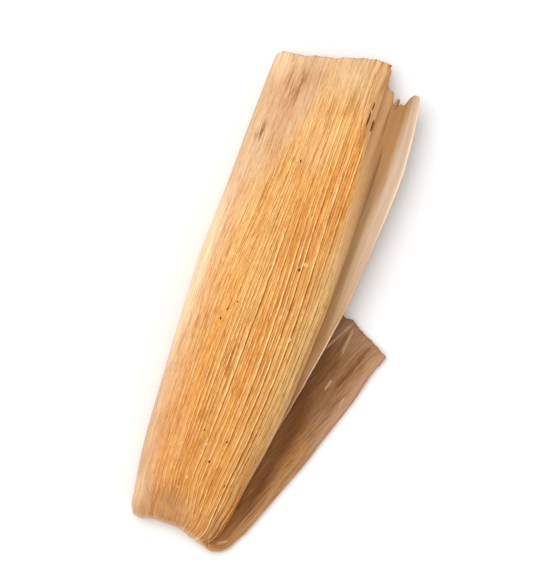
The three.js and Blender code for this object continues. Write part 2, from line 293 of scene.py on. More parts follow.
def roll_point(y, across, upper):
    share = across + rib_drift(y) * np.sin(2 * np.pi * across)
    x = blend(ROLL_LEFT(y), ROLL_RIGHT(y), share)
    edge, tears = (MOUTH_EDGE, MOUTH_TEARS) if upper else (MOUTH_BACK, MOUTH_BACK_TEARS)
    torn = y + mouth_pull(y) * (edge(x) + waves(x, 1, *tears) - MOUTH_Y)
    return np.stack(np.broadcast_arrays(x, torn, roll_height(x, y, share, upper)), -1)


def tail_height(across, upper):
    """The roll's upper face has become the tail's lower one."""
    middle = TAIL_THICKNESS / 2
    section = dome(across, 0.5, SQUARE)
    if upper:
        return middle * (1 - section)
    return middle + (middle + TAIL_RIM * smooth(across, *TAIL_RIM_ACROSS)) * section


def tail_point(along, across, upper):
    left, right = ([blend(a, b, along) for a, b in zip(*edge)] for edge in (TAIL_LEFT, TAIL_RIGHT))
    cut = smooth(along, TAIL_TORN_FROM, 1) * (TAIL_CUT(across) + waves(across, 1, *TAIL_TEARS))
    x = blend(left[0], right[0] + TAIL_BOW(along), across)
    y = blend(left[1], right[1], across) + cut
    return np.stack(np.broadcast_arrays(x, y, tail_height(across, upper)), -1)


def fold_point(turn, across, upper):
    """A half turn from the roll's last section to the tail's first one."""
    start = roll_point(np.full_like(turn, FOOT_Y), across, upper)
    end = tail_point(np.zeros_like(turn), across, upper)
    share = (1 - np.cos(turn)) / 2
    point = blend(start, end, share[..., None])
    turned = turn / np.pi
    near_rim = smooth(across, 0.6, 1)
    plain_x = blend(ROLL_RIGHT(FOOT_Y), TAIL_RIGHT[0][0], share)
    drawn_in = np.clip((across - RIM_FROM) / (1 - RIM_FROM), 0, 1) ** RIM_POWER
    x = point[..., 0] + drawn_in * (RIM_X(turned) - plain_x)
    straight = point[..., 1]
    outer = straight - FOLD_EDGE(x)
    inner = blend(FOLD_INNER, outer - FOLD_THICKNESS, near_rim)
    fullness = np.where(turned > 0.5, 1 - 0.75 * near_rim, 1)
    face = straight - np.sin(turn) ** fullness * (outer if upper else inner)
    middle = straight - np.sin(turn) * (outer + FOLD_INNER) / 2
    rim = np.where(across > 0.5, RIM_Y(turned), middle)
    y = blend(rim, face, dome(across, 0.5, SQUARE))
    return np.stack([x, y, point[..., 2]], -1)


def plain_loop():
    """The bare surface as rows of closed loops: the upper face from left to right and the lower one back."""
    across = (1 - np.cos(np.linspace(0, np.pi, PLAIN_STEPS + 1))) / 2
    roll = np.linspace(MOUTH_Y, FOOT_Y, ROLL_ROWS)[:, None]
    turns = np.linspace(0, np.pi, FOLD_ROWS + 2)[1:-1, None]
    along = np.linspace(0, 1, TAIL_ROWS)[:, None]
    stretches = ((roll_point, roll), (fold_point, turns), (tail_point, along))

    def whole_face(upper):
        return np.concatenate([point(at + 0 * across, across + 0 * at, upper) for point, at in stretches])

    return np.concatenate([whole_face(True)[:, :-1], whole_face(False)[:, :0:-1]], axis=1)


def row_places():
    """For each row, its y on the roll. Below the foot it goes on as a distance along the leaf."""
    roll = np.linspace(MOUTH_Y, FOOT_Y, ROLL_ROWS)
    fold = FOOT_Y - FOLD_LENGTH * np.linspace(0, 1, FOLD_ROWS + 2)[1:-1]
    tail = FOOT_Y - FOLD_LENGTH - TAIL_LENGTH * np.linspace(0, 1, TAIL_ROWS)
    return np.concatenate([roll, fold, tail])[:, None]


def loop_normals(rows):
    """Outward normals of a grid of closed loops."""
    along = np.gradient(rows, axis=0)
    around = np.roll(rows, -1, axis=1) - np.roll(rows, 1, axis=1)
    normal = np.cross(around, along)
    return normal / np.maximum(np.linalg.norm(normal, axis=2, keepdims=True), 1e-9)


# ---- Columns: where the fine grid's points lie on the bare surface ----

WIDEST_Y = 70.0
ARC_STEPS = 400
SEAM_ACROSS = 0.25  # where the leaf's two margins meet on the underside
TAIL_LEAN = 0.1  # how steeply the wrinkles near the tail's end run over its veins
TAIL_LEAN_FROM = 30  # of leaf past y = 0
TAIL_LEAN_EASE = 15
# The way over the top layer's free edge and back under it to the layer below, as shares of its columns with
# the shift across and the height. The shift is a share of the roll's width or, below -0.1, of the undercut.
LIP_SPREAD = 0.012
LIP_GAP = LAYER_STEP - LAYER_THICKNESS
LIP_PATH = (
    (0, -LIP_SPREAD, LAYER_STEP), (0.3, -0.002, LAYER_STEP + 0.05),
    (0.38, 0.003, LAYER_STEP - 0.12), (0.44, 0.0, LIP_GAP + 0.05),
    (0.64, -0.7, LIP_GAP * 0.5), (0.7, -1.0, 0.12),
    (0.76, -0.8, 0.0), (1, LIP_SPREAD, 0),
)


def arc_table(upper):
    """Distance along the leaf's own surface at shares of the roll's width, at its widest."""
    across = (1 - np.cos(np.linspace(0, np.pi, ARC_STEPS))) / 2
    points = roll_point(np.full_like(across, WIDEST_Y), across, upper)
    steps = np.linalg.norm(np.diff(points, axis=0), axis=1)
    return across, np.concatenate([[0], np.cumsum(steps)])


UPPER_ARC = arc_table(True)
LOWER_ARC = arc_table(False)


def evenly(count, arc):
    """Shares of the width, spaced evenly over the leaf's surface."""
    return np.interp(np.linspace(0, arc[1][-1], count), arc[1], arc[0])


def width_share(x, y):
    return (x - ROLL_LEFT(y)) / (ROLL_RIGHT(y) - ROLL_LEFT(y))


def across_at(x, y):
    """The share of the width, before the ribs' drift, at which the roll's surface has this x."""
    share = width_share(x, y)
    across = share
    for _ in range(6):
        across = share - rib_drift(y) * np.sin(2 * np.pi * across)
    return across


def front_edge(along):
    """Where the ribbed front ends on the right."""
    return np.minimum(across_at(FRONT_EDGE(along), along), 0.975)


def wall_start(along):
    """Where the smooth layer below the ribbed front begins."""
    return front_edge(along) + 0.01 * window(along, 106, 116, 128, 140)


def along_at(x, y):
    """Where a point of the front lies along the leaf, before the mouth's pull."""
    along = y
    for _ in range(8):
        along = y - mouth_pull(along) * (MOUTH_EDGE(x) - MOUTH_Y)
    return along


def husk_columns(along):
    """Each column's share of the width in every row, its height over the bare surface from the top layer's
    free edge, and its side. Near the mouth that edge stands clear and the leaf runs back under it."""
    opened = smooth(along, *LAYER_OPENS)
    edge = front_edge(along)
    left = (edge - LIP_SPREAD) * evenly(LEFT_COLUMNS, UPPER_ARC)
    right = blend(edge + LIP_SPREAD, 1, np.linspace(0, 1, RIGHT_COLUMNS + 1)[:-1])
    lower = 1 - evenly(LOWER_COLUMNS, LOWER_ARC) + 0 * along
    step = np.linspace(0, 1, LIP_COLUMNS + 2)[1:-1]
    at, shifts, heights = np.array(LIP_PATH).T
    shift = np.interp(step, at, shifts)
    undercut = LAYER_UNDERCUT / (ROLL_RIGHT(along) - ROLL_LEFT(along))
    shift = np.where(shift < -0.1, shift * undercut, shift)
    plain = blend(-LIP_SPREAD, LIP_SPREAD, step)
    lip = edge + blend(plain + 0 * along, shift, opened)
    rise = LAYER_STEP * smooth(left / (edge - LIP_SPREAD), 0.7, 0.98)
    rise_at_lip = np.interp(step, at, heights) + 0 * lip
    across = np.concatenate([left, lip, right, lower], axis=1)
    raised = np.concatenate([rise, rise_at_lip, 0 * right, 0 * lower], axis=1) * opened
    side = np.where(np.arange(across.shape[1]) < across.shape[1] - LOWER_COLUMNS, 1, -1)
    return across, raised, side + 0 * across


def resample(rows, across, side):
    """Reads a grid of plain loops at other shares of the width."""
    angle = np.arccos(np.clip(1 - 2 * across, -1, 1)) / np.pi * PLAIN_STEPS
    count = rows.shape[1]
    place = np.where(side > 0, angle, 2 * PLAIN_STEPS - angle)
    low = np.floor(place).astype(int)
    share = (place - low)[..., None]
    row = np.arange(rows.shape[0])[:, None]
    return blend(rows[row, low % count], rows[row, (low + 1) % count], share)


def leaf_across(across, side):
    """Distance across the leaf, along its own surface. The jump lies on the underside."""
    upper = np.interp(across, *UPPER_ARC)
    lower = np.interp(across, *LOWER_ARC)
    around = UPPER_ARC[1][-1] + LOWER_ARC[1][-1] - lower
    return np.where(side > 0, upper, np.where(across < SEAM_ACROSS, -lower, around))


def tail_lean(along):
    """How far the wrinkles near the tail's end have run across the leaf."""
    run = np.maximum(0, -along - TAIL_LEAN_FROM)
    return TAIL_LEAN * run**2 / (TAIL_LEAN_EASE + run)


# ---- Relief ----

RIB_PITCH = 1.3  # along the leaf's own surface, at the widest part of the roll
RIB_WIDER = 0.24  # and how much wider it grows, right of the crown
RIB_HEIGHT = 0.3
RIB_STRENGTH = curve((0, 0.4), (0.15, 0.55), (0.3, 0.8), (0.6, 1), (1, 1))
RIB_WANDER = ((0.35, 0.21, 0.008, 31), (0.14, 0.5, 0.012, 32))
RIBS_START = curve(
    (-20, 0.1), (0, 0.2), (20, 0.1), (70, 0.06), (100, 0.1), (120, 0.17), (137, 0.3), (156, 0.46)
)
FOOT_SWEEP = 13.0  # how far the ribs bend towards the pinched corner, at the leaf's left edge
EDGE_RIBS = 3.0  # more ribs than the pitch gives, crowded along the right edge of the front
CROWN_U = float(np.interp(0.5, *UPPER_ARC))
# Where the ribs stand out more or less than elsewhere.
RIB_PATCHES = (
    (0.3, (4, 72), (6, 28)), (0.4, (-2, 118), (4, 18)), (-0.4, (6, 124), (9, 36)),
    (-0.45, (9, 25), (4, 24)), (0.25, (14.2, 70), (3, 90)),
)
DENTS = ((0.26, 0.09, 0.045, 42), (0.12, 0.3, 0.03, 43))
PLEAT_HEIGHT = 0.16
PLEAT_PITCH = 4.4
PLEAT_WANDER = (1.5, 0.2, 0.1, 45)
TAIL_WRINKLES = (0.16, 0.55, 0.06, 44)
SIDE_CREASE = ((-13.2, 94), (2.4, 17))  # its place and its reach
# The two curved creases at the foot's left corner, where the leaf turns under.
FOOT_CREASES = (
    ((-14.2, 15.7), (-12.3, 11), (-8.7, 6.5), (-4.9, 4.1), (1.4, 1.8)),
    ((-7.1, 16.9), (-6, 12.8), (-3.7, 8.2), (0.1, 5.8), (4, 5)),
)
CREASE_WIDTH = 0.55
PINCH_X = 13.0  # where the roll's front ends and the tail begins


def rib_phase(u, along, across):
    """The leaf's ribs, counted from its left edge. Near the fold they sweep towards the pinched corner."""
    sweep = FOOT_SWEEP * fade(along, -3, 18) ** 1.4 * (1 - across) ** 1.2
    crowd = EDGE_RIBS * smooth(across, 0.88, 0.99)
    wider = RIB_WIDER * np.maximum(0, u - CROWN_U)
    return (u - sweep - wider) / RIB_PITCH + crowd + waves(u, along, *RIB_WANDER)


def rib_strength(phase, x, along, across, side):
    """How much each rib stands out: on the right every second one is a strong vein, on the left they differ
    less, and each one changes slowly along its length."""
    rib = np.floor(phase + 0.5)
    slow = noise(rib * 3.7, along * 0.015, 41)
    bold = smooth(across, 0.6, 0.75) * fade(along, 78, 100)
    calm = 1 - 0.65 * smooth(across, 0.68, 0.78) * smooth(along, 130, 146)
    faded = 1 - 0.25 * smooth(across, 0.84, 0.92) * smooth(along, 76, 90)
    even = 0.6 + 0.5 * slow
    veined = np.where(rib % 2 == 0, 0.85 + 0.4 * slow, 0.32 + 0.5 * slow) + 0.35 * bold
    crowded = 0.9 + 0.5 * slow
    chance = blend(blend(even, veined, smooth(across, 0.42, 0.6)), crowded, smooth(across, 0.82, 0.9))
    chance = chance * calm * faded * (1 + patches(x, along, RIB_PATCHES))
    under = 0.6 - 0.35 * fade(along, -10, 3)
    return np.clip(chance, 0.06, 1.3) * np.where(side > 0, RIB_STRENGTH(across), under)


def smooth_skin(along, across, side):
    """1 on the leaf's smooth margins, 0 where the ribs stand out."""
    start = RIBS_START(along)
    left = fade(across, start - 0.1, start + 0.14)
    wall = wall_start(along)
    right = smooth(across, wall - 0.004, wall + 0.01) * smooth(along, 84, 100)
    ribs_reach = 0.5 * smooth(across, 0.6, 0.75) * fade(along, 149, 155)
    top = 0.85 * smooth(along, 140, 154) * (1 - ribs_reach)
    seam = 0.6 - 0.6 * smooth(np.abs(across - SEAM_ACROSS), 0.03, 0.12)
    return np.where(side > 0, np.maximum(np.maximum(left, right), top), seam)


def foot_creases(x, y):
    """1 in the creases at the foot's left corner."""
    total = 0
    for places in FOOT_CREASES:
        crease, first, last = curve(*places), places[0][0], places[-1][0]
        slope = (crease(x + 0.2) - crease(x - 0.2)) / 0.4
        away = (y - crease(x)) / np.hypot(1, slope)
        total = total + ridge(away, CREASE_WIDTH) * window(x, first, first + 2, last - 5, last)
    return total


def husk_relief(points, along, across, side, u, phase, vein, skin):
    """Height of everything that stands out from the bare surface, but for the top layer's edge."""
    x, y = points[..., 0], points[..., 1]
    crest = (0.5 + 0.5 * np.cos(2 * np.pi * phase)) ** 2 - 0.3
    mouth = 1 - 0.45 * smooth(along, MOUTH_Y - 30, MOUTH_Y)
    ribs = RIB_HEIGHT * vein * crest * (1 - 0.8 * skin) * mouth
    dents = waves(u, along, *DENTS)
    last_rib = ridge(x - RIDGE_X, 0.9) * smooth(y, 124, 150)
    wander = waves(u, along, PLEAT_WANDER)
    pleats = np.cos(2 * np.pi * (u - 0.2 * along) / PLEAT_PITCH + 0.8 + wander)
    pleated = smooth(across, 0.6, 0.8) * window(along, -1, 3, 6, 22)
    upper = ribs + dents + PLEAT_HEIGHT * pleats * pleated + 0.45 * last_rib
    upper = upper - 0.6 * spot(x, y, *SIDE_CREASE) - 0.6 * foot_creases(x, y)
    lower = ribs + 0.5 * dents + waves(u, along, TAIL_WRINKLES) * smooth(-along, 5, 15)
    return np.where(side > 0, upper, lower)


# ---- Meshes ----

CAP_ROOM = 0.02  # the share of a map's height that is kept free for the two caps

to_frame = np.array([cad_box[1][0] / MM - TAIL_RIGHT[1][0], cad_box[1][1] / MM - MOUTH_CORNER_Y, 0.0])


def add_object(name, data):
    thing = bpy.data.objects.new(name, data)
    bpy.context.scene.collection.objects.link(thing)
    return thing


def strip_faces(rows, columns):
    row = np.arange(rows - 1)[:, None] * columns
    first = (row + np.arange(columns)).ravel()
    after = (row + (np.arange(columns) + 1) % columns).ravel()
    return np.stack([first, first + columns, after + columns, after], axis=1)


def cap_faces(first, count, turned):
    """Quads and a triangle that close a loop of points, zipped together from its first point on."""
    faces = []
    low, high = first, first + count - 1
    while high - low > 1:
        corners = [low, low + 1, high - 1, high] if high - low > 2 else [low, low + 1, high]
        faces.append(corners[::-1] if turned else corners)
        low, high = low + 1, high - 1
    return faces


def grid_piece(name, rows, values, material, flip=False):
    """A closed piece through rows of closed loops, with a value for each point under each given name."""
    count, columns = rows.shape[:2]
    points = (rows.reshape(-1, 3) + to_frame) * MM
    quads = strip_faces(count, columns)
    if flip:
        quads = quads[:, ::-1]
    faces = quads.tolist()
    faces += cap_faces(0, columns, flip)
    faces += cap_faces((count - 1) * columns, columns, not flip)
    mesh = bpy.data.meshes.new(name)
    mesh.from_pydata(points.tolist(), [], faces)
    for key, value in values.items():
        layer = mesh.attributes.new(key, "FLOAT", "POINT")
        layer.data.foreach_set("value", np.broadcast_to(value, (count, columns)).astype(np.float32).ravel())
    bake_map(mesh, count, columns, len(quads))
    mesh.shade_smooth()
    mesh.materials.append(material)
    piece = add_object(name, mesh)
    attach(piece, "root")
    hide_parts("husk")


def bake_map(mesh, rows, columns, quads):
    """A map of the piece as its own grid, with the two caps in a corner that the grid leaves free."""
    layer = mesh.uv_layers.new(name="OFBake")
    corner = np.empty(len(mesh.loops), int)
    mesh.loops.foreach_get("vertex_index", corner)
    row, column = np.divmod(corner, columns)
    u = (column + 0.5) / (columns + 1)
    v = CAP_ROOM + (1 - CAP_ROOM) * (row + 0.5) / rows
    grid = quads * 4
    across = column[:grid].reshape(-1, 4)
    wraps = (across == 0) & (across.max(axis=1, keepdims=True) == columns - 1)
    u[:grid] += np.where(wraps, columns / (columns + 1), 0).ravel()
    v[grid:] = 0.75 * CAP_ROOM * (row[grid:] > 0) + 0.2 * CAP_ROOM * (column[grid:] % 2)
    layer.data.foreach_set("uv", np.stack([u, v], axis=1).astype(np.float32).ravel())


# ---- Materials ----


def srgb(*parts):
    """A colour as the eye reads it, 0 to 255, in the renderer's linear values."""
    shares = [part / 255 for part in parts]
    return (*(c / 12.92 if c <= 0.04045 else ((c + 0.055) / 1.055) ** 2.4 for c in shares), 1.0)


# The ribbed front.
HONEY = srgb(239, 181, 107)
AMBER = srgb(226, 142, 52)
RUST = srgb(202, 104, 46)
PINKISH = srgb(240, 160, 100)
OLIVE = srgb(206, 152, 72)
# Pale; along the roll's left edge it is a painted highlight.
PALE = srgb(254, 214, 168)
# Painted light on the right shoulder, over its paler crowded ribs.
SHOULDER_PALE_AND_LIT = srgb(255, 206, 136)
# A duller tone, and painted shade at the foot and in its creases.
DULL = srgb(196, 143, 95)
ASH = srgb(166, 120, 70)
ASH_LINE = srgb(238, 198, 148)
# The ribs' lines and grooves: their own tones, with painted highlight on the lit flank and painted shade in
# the grooves.
RIB_LINE = srgb(255, 215, 144)
GROOVE = srgb(152, 82, 24)
# A painted highlight on the last strong rib at the mouth.
RIDGE_HIGHLIGHT = srgb(250, 206, 146)
STRIP = srgb(214, 162, 110)
LIP_SHADE = srgb(150, 96, 46)
FOLD_RIM = srgb(250, 222, 188)
# The smooth leaf on the left and at the mouth.
SKIN = srgb(222, 186, 148)
SKIN_PALE = srgb(252, 216, 172)
SKIN_CREAM = srgb(228, 188, 144)
SKIN_ROSE = srgb(206, 150, 110)
# Marks, and the painted shadows under the top layer's lifted free edge.
SMUDGE = srgb(138, 94, 60)
SPECK_AND_SHADOW = srgb(92, 44, 14)
SCAR = srgb(250, 210, 158)
STAIN = srgb(176, 112, 46)
# The layer below the front, the valley beside it and the flap. The valley's colours are painted shade.
TAN = srgb(228, 177, 121)
TAN_BROWN = srgb(198, 151, 102)
VALLEY = srgb(184, 147, 106)
VALLEY_BROWN = srgb(168, 121, 75)
VALLEY_DEEP = srgb(152, 120, 82)
CREAM = srgb(203, 174, 147)
PALE_EDGE = srgb(230, 208, 184)
# The tail. Its deepest brown is painted shadow: the roll's shadow on it and the shade beside its dark
# creases. The pale crease colour is painted highlight on the creases.
TAIL_TAN = srgb(158, 118, 80)
TAIL_GOLD = srgb(171, 121, 70)
TAIL_FOLD = srgb(184, 126, 70)
TAIL_EDGE = srgb(194, 150, 118)
TAIL_ROSE = srgb(150, 108, 80)
TAIL_SHADOW_BROWN = srgb(120, 74, 36)
TAIL_END = srgb(172, 134, 102)
TAIL_VEIN = srgb(196, 150, 104)
TAIL_CREASE = srgb(190, 156, 120)

# What stained fibres multiply a colour by.
DEEP = (0.66, 0.48, 0.28, 1)
BLEACHED = (1.14, 1.28, 1.45, 1)
SPECULAR = 0.12

# Marks on the front, and painted shadows under the top layer's free edge, each at (x, y) with its reach
# across and along the leaf.
SPECKS_AND_EDGE_SHADOWS = (
    ((7.7, 32.3), (0.46, 0.5)), ((4.4, 24.4), (0.5, 0.55)), ((11.4, 18.7), (0.44, 0.5)),
    ((-0.2, 33.7), (0.28, 0.4)), ((-7, 68.8), (0.32, 0.6)), ((-5.8, 72.3), (0.3, 0.6)),
    ((-3.6, 75.4), (0.26, 0.4)), ((0.8, 124), (0.4, 0.7)), ((11.5, 91.1), (0.6, 0.66)),
    # Painted shadows under the top layer's lifted free edge.
    ((17, 148.2), (0.3, 1.3)), ((16.8, 143.8), (0.36, 2.2)), ((18.5, 142.2), (0.4, 2)),
)
SCARS = (
    ((13, 93.3), (1.3, 0.9)), ((15.4, 69.2), (1, 1.2)), ((1.6, 29.4), (0.7, 0.7)),
    ((-0.9, 17.5), (0.6, 0.6)), ((-2.4, 13.7), (0.7, 0.6)),
)
STAINS = (
    ((8, 22.6), (1.7, 2)), ((0.8, 54.2), (1.2, 3.2)), ((-2.5, 38.2), (1.6, 3)), ((10.2, 147.6), (1.4, 6)),
)
# Straight creases in the tail and by the pinched corner, each from one place to another. On the tail the
# dark ones are painted shade beside its creases and the pale ones painted highlight on them.
PALE_CREASES = (
    ((27.4, 69.7), (33.4, 80.6)), ((33.2, 70.6), (34.2, 79.4)),
    ((37.9, 53.6), (38.6, 57.4)), ((31.8, 57.8), (32.9, 61.4)),
)
DARK_CREASES = (
    ((31.2, 69.8), (33.1, 77.4)), ((34.3, 58.1), (40.4, 72.4)),
    ((38.4, 69.6), (41.4, 75.6)), ((28.6, 58), (33.5, 69)),
)
PINCH_CREASES = (
    ((13.4, -2.6), (12.3, 0.6)), ((12.3, 0), (12.4, 2.6)), ((15, 0), (18.2, 2)),
)
LIT_FLANK = 0.06  # how far left of the crests the pale lines lie, in rib pitches


class Value:
    """A value in a material, which can be reckoned with: each sum or product is a node."""

    def __init__(self, nodes, socket):
        self.nodes = nodes
        self.socket = socket

    def __add__(self, other):
        return self.nodes.math("ADD", self, other)

    def __sub__(self, other):
        return self.nodes.math("SUBTRACT", self, other)

    def __rsub__(self, other):
        return self.nodes.math("SUBTRACT", other, self)

    def __mul__(self, other):
        return self.nodes.math("MULTIPLY", self, other)


class Nodes:
    """Short names for the shader nodes. nodes["skin"] is the value that the mesh holds under that name."""

    def __init__(self, material):
        material.use_nodes = True
        self.tree = material.node_tree
        self.shader = self.tree.nodes["Principled BSDF"]

    def __getitem__(self, name):
        return self.add("Attribute", {}, output="Fac", attribute_name=name)

    def add(self, kind, inputs, output=0, **settings):
        node = self.tree.nodes.new("ShaderNode" + kind)
        for key, value in settings.items():
            setattr(node, key, value)
        for key, value in inputs.items():
            self.feed(node.inputs[key], value)
        return Value(self, node.outputs[output])

    def feed(self, socket, value):
        if isinstance(value, Value):
            self.tree.links.new(value.socket, socket)
        else:
            socket.default_value = value

    def math(self, operation, a, b=0.0, clamp=False):
        return self.add("Math", {0: a, 1: b}, operation=operation, use_clamp=clamp)

    def larger(self, a, b):
        return self.math("MAXIMUM", a, b)

    def ramp(self, x, low, high, start=0.0, end=1.0):
        """Rises smoothly from start to end as x goes from low to high."""
        inputs = {"Value": x, "From Min": low, "From Max": high, "To Min": start, "To Max": end}
        return self.add("MapRange", inputs, interpolation_type="SMOOTHSTEP")

    def vector(self, x, y):
        return self.add("CombineXYZ", {0: x, 1: y})

    def vector_math(self, operation, a, b=(0, 0, 0), output=0):
        return self.add("VectorMath", {0: a, 1: b}, output, operation=operation)

    def noise(self, vector, scale, detail=2.0, rough=0.5):
        inputs = {"Vector": vector, "Scale": scale, "Detail": detail, "Roughness": rough}
        return self.add("TexNoise", inputs, output="Fac")

    def strands(self, stretch, scale, detail=2.0, rough=0.5, across=None):
        """Noise over the millimetres of the leaf, drawn out along it."""
        if across is None:
            across = self["across"]
        return self.noise(self.vector(across, self["along"] * (1 / stretch)), scale, detail, rough)

    def mix(self, factor, a, b, kind="MIX"):
        inputs = {"Factor": factor, "A": a, "B": b}
        return self.add("Mix", inputs, output="Result", data_type="RGBA", blend_type=kind)

    def coats(self, colour, *layers):
        """Lays colours over the first one, each with its strength."""
        for strength, over in layers:
            colour = self.mix(strength, colour, over)
        return colour

    def surface(self, colour, roughness, height, strength, depth):
        """Connects the shader, with a bump as deep as the given millimetres."""
        bump = self.add("Bump", {"Height": height, "Strength": strength, "Distance": depth * MM})
        look = {"Base Color": colour, "Roughness": roughness, "Specular IOR Level": SPECULAR, "Normal": bump}
        for key, value in look.items():
            self.feed(self.shader.inputs[key], value)


def on_front(x, y):
    """A place on the front in the leaf's own coordinates."""
    along = float(along_at(x, y))
    return float(np.interp(across_at(x, along), *UPPER_ARC)), along


def marks(n, places, core=0.75):
    """1 inside each of a few small marks on the leaf, 0 elsewhere. A larger core makes them crisper."""
    total = 0.0
    here = n.vector(n["across"], n["along"])
    wobble = n.noise(here, 1.6, 2) * 0.7
    for place, (wide, long) in places:
        away = n.vector_math("SUBTRACT", here, (*on_front(*place), 0))
        scaled = n.vector_math("MULTIPLY", away, (1 / wide, 1 / long, 1))
        distance = n.vector_math("LENGTH", scaled, output="Value")
        total = n.larger(total, n.ramp(distance + wobble, 1.35, core))
    return total


def creases(n, lines, width):
    """1 along each of a few straight creases, fading over their width and towards their ends."""
    total = 0.0
    here = n.vector(n["x"], n["y"])
    for first, last in lines:
        run = Vector(last) - Vector(first)
        way = run.normalized()
        away = n.vector_math("SUBTRACT", here, (*first, 0))
        along = n.vector_math("DOT_PRODUCT", away, (*way / run.length, 0), "Value")
        aside = n.math("ABSOLUTE", n.vector_math("DOT_PRODUCT", away, (-way.y, way.x, 0), "Value"))
        inside = n.ramp(along, -0.1, 0.2) * n.ramp(along, 1.1, 0.8)
        total = n.larger(total, inside * n.ramp(aside, width, 0.2 * width))
    return total


def dyed(n, colour, grain, strength):
    """Deepens a colour where the grain is low and bleaches it where it is high."""
    colour = n.mix(n.ramp(grain, 0.51, 0.41, 0, strength), colour, DEEP, "MULTIPLY")
    return n.mix(n.ramp(grain, 0.51, 0.6, 0, strength), colour, BLEACHED, "MULTIPLY")


def rib_lines(n, dash):
    """The ribs' pale crests, set towards the lit left flank as painted highlight over their own paler tone,
    their dark grooves on the right, partly painted shade, the thin lines between, and a tint for each rib.
    """
    phase = n["rib"] + (n.strands(6, 1.1, 2) - 0.5) * 0.22
    side = phase - n.math("ROUND", phase)
    crest = n.ramp(side, -0.32, -0.14) * n.ramp(side, 0.2, 0.04) * n.ramp(dash, 0.36, 0.54, 0.6, 1)
    groove = n.ramp(side, 0.12, 0.24) * n.ramp(side, 0.48, 0.3)
    thin = n.ramp(n.math("ABSOLUTE", side + LIT_FLANK), 0.36, 0.5)
    thin = thin * n.ramp(n.strands(40, 0.9, 1), 0.4, 0.56)
    tint = n.noise(n.vector(n.math("FLOOR", phase) * 5.1, n["along"] * 0.012), 1.0, 1)
    return crest, groove, thin, tint


def leaf_colour(n, tint, ribbed):
    """The front's orange, with what differs in patches and from place to place, and painted light on its
    right shoulder and along its left edge.
    """
    warm = n["warm"] + (n.strands(26, 0.3, 2) - 0.5) * 1.1
    rust = n.ramp(n.strands(11, 0.5, 3, 0.6), 0.54, 0.7, 0, 0.6)
    mottle = n.strands(1.5, 0.9, 3, 0.6)
    return n.coats(
        HONEY,
        (n.math("ADD", warm, tint - 0.5, clamp=True), AMBER),
        (rust * ribbed, RUST),
        (n.ramp(mottle, 0.52, 0.68, 0, 0.45), PINKISH),
        (n.ramp(mottle, 0.46, 0.3, 0, 0.45), OLIVE),
        (n["pale"], PALE),
        (n["gilt"], SHOULDER_PALE_AND_LIT),
        (n["ash"] * 0.6, ASH),
    )


def skin_colour(n):
    """The smooth leaf, rosy in patches, with a painted highlight along its left edge."""
    return n.coats(
        SKIN,
        (n.ramp(n.strands(3.2, 0.16, 4, 0.6), 0.44, 0.66, 0, 0.6), SKIN_ROSE),
        (n["rose"], SKIN_ROSE),
        (n["pale"], SKIN_PALE),
        (n["cream"], SKIN_CREAM),
    )


def tail_colour(n):
    """The leaf's folded end: duller and browner, with the roll's shadow and the shade and highlight of its
    creases painted on, and with wrinkles that run aslant over its veins.
    """
    aslant = n["across"] + n["lean"]
    wrinkles = n.strands(13, 1.5, 4, 0.6, aslant)
    veined = n.ramp(n.strands(16, 1.3, 1, across=aslant), 0.56, 0.68, 0, 0.4)
    lined = n.ramp(n.strands(50, 1.7, 1), 0.52, 0.62, 0, 0.6)
    calm = 1.0 - n["shade"] * 0.6
    rim = n["rim"]
    colour = n.coats(
        TAIL_TAN,
        (n["gold"], TAIL_GOLD),
        (n.ramp(n.strands(2.5, 0.22, 3), 0.48, 0.66, 0, 0.5), TAIL_ROSE),
        (n["turned"], TAIL_FOLD),
        # the roll's shadow, painted on the tail
        (n["shade"], TAIL_SHADOW_BROWN),
        (n["ended"], TAIL_END),
        (veined * ((1.0 - rim) * calm), TAIL_VEIN),
        # painted shade beside the tail's creases, then painted highlight on them
        (creases(n, DARK_CREASES, 0.8) * 0.75, TAIL_SHADOW_BROWN),
        (creases(n, PALE_CREASES, 0.6) * 0.95, TAIL_CREASE),
        (rim * 0.8, TAIL_EDGE),
        (lined * n["lined"], TAIL_VEIN),
    )
    return dyed(n, colour, wrinkles, (0.55 - rim * 0.3) * calm)


def valley_colour(n):
    # Painted shade in the valley between the roll and the flap.
    return n.mix(n["browner_and_shaded"], VALLEY, VALLEY_BROWN)


def husk_colour(n, skin, ribbed, lines):
    """The whole leaf: ribs, smooth parts, the tail and the marks, with painted light and shade, laid one
    over another.
    """
    crest, groove, thin, tint = lines
    rib_line = n.mix(n["ash"], RIB_LINE, ASH_LINE)
    smudged = n.ramp(n.strands(9, 0.8, 3, 0.6), 0.46, 0.62)
    return n.coats(
        leaf_colour(n, tint, ribbed),
        (groove * n["vein"] * (ribbed * (0.9 - n["gilt"] * 0.25)), GROOVE),
        (thin * ribbed * 0.4, rib_line),
        (crest * n["vein"] * ribbed, rib_line),
        (skin * 0.85, skin_colour(n)),
        (n["cream"] * 0.5, SKIN_CREAM),
        (n["dull_and_shade"], DULL),
        (n["edge"], ASH_LINE),
        (n["ridge"], RIDGE_HIGHLIGHT),
        (n["smudge"] * smudged, SMUDGE),
        (n["wall"], n.mix(n["browner_and_shaded"], TAN, TAN_BROWN)),
        (n["valley"], valley_colour(n)),
        (n["strip"] * 0.75, STRIP),
        (n["lip"] * 0.7, LIP_SHADE),
        (n["tail"], tail_colour(n)),
        (n["fold_rim"], FOLD_RIM),
        (creases(n, PINCH_CREASES, 0.6) * 0.4, ASH_LINE),
        (marks(n, STAINS) * 0.4, STAIN),
        (marks(n, SCARS) * 0.75, SCAR),
        (marks(n, SPECKS_AND_EDGE_SHADOWS, 0.95) * 0.95, SPECK_AND_SHADOW),
    )


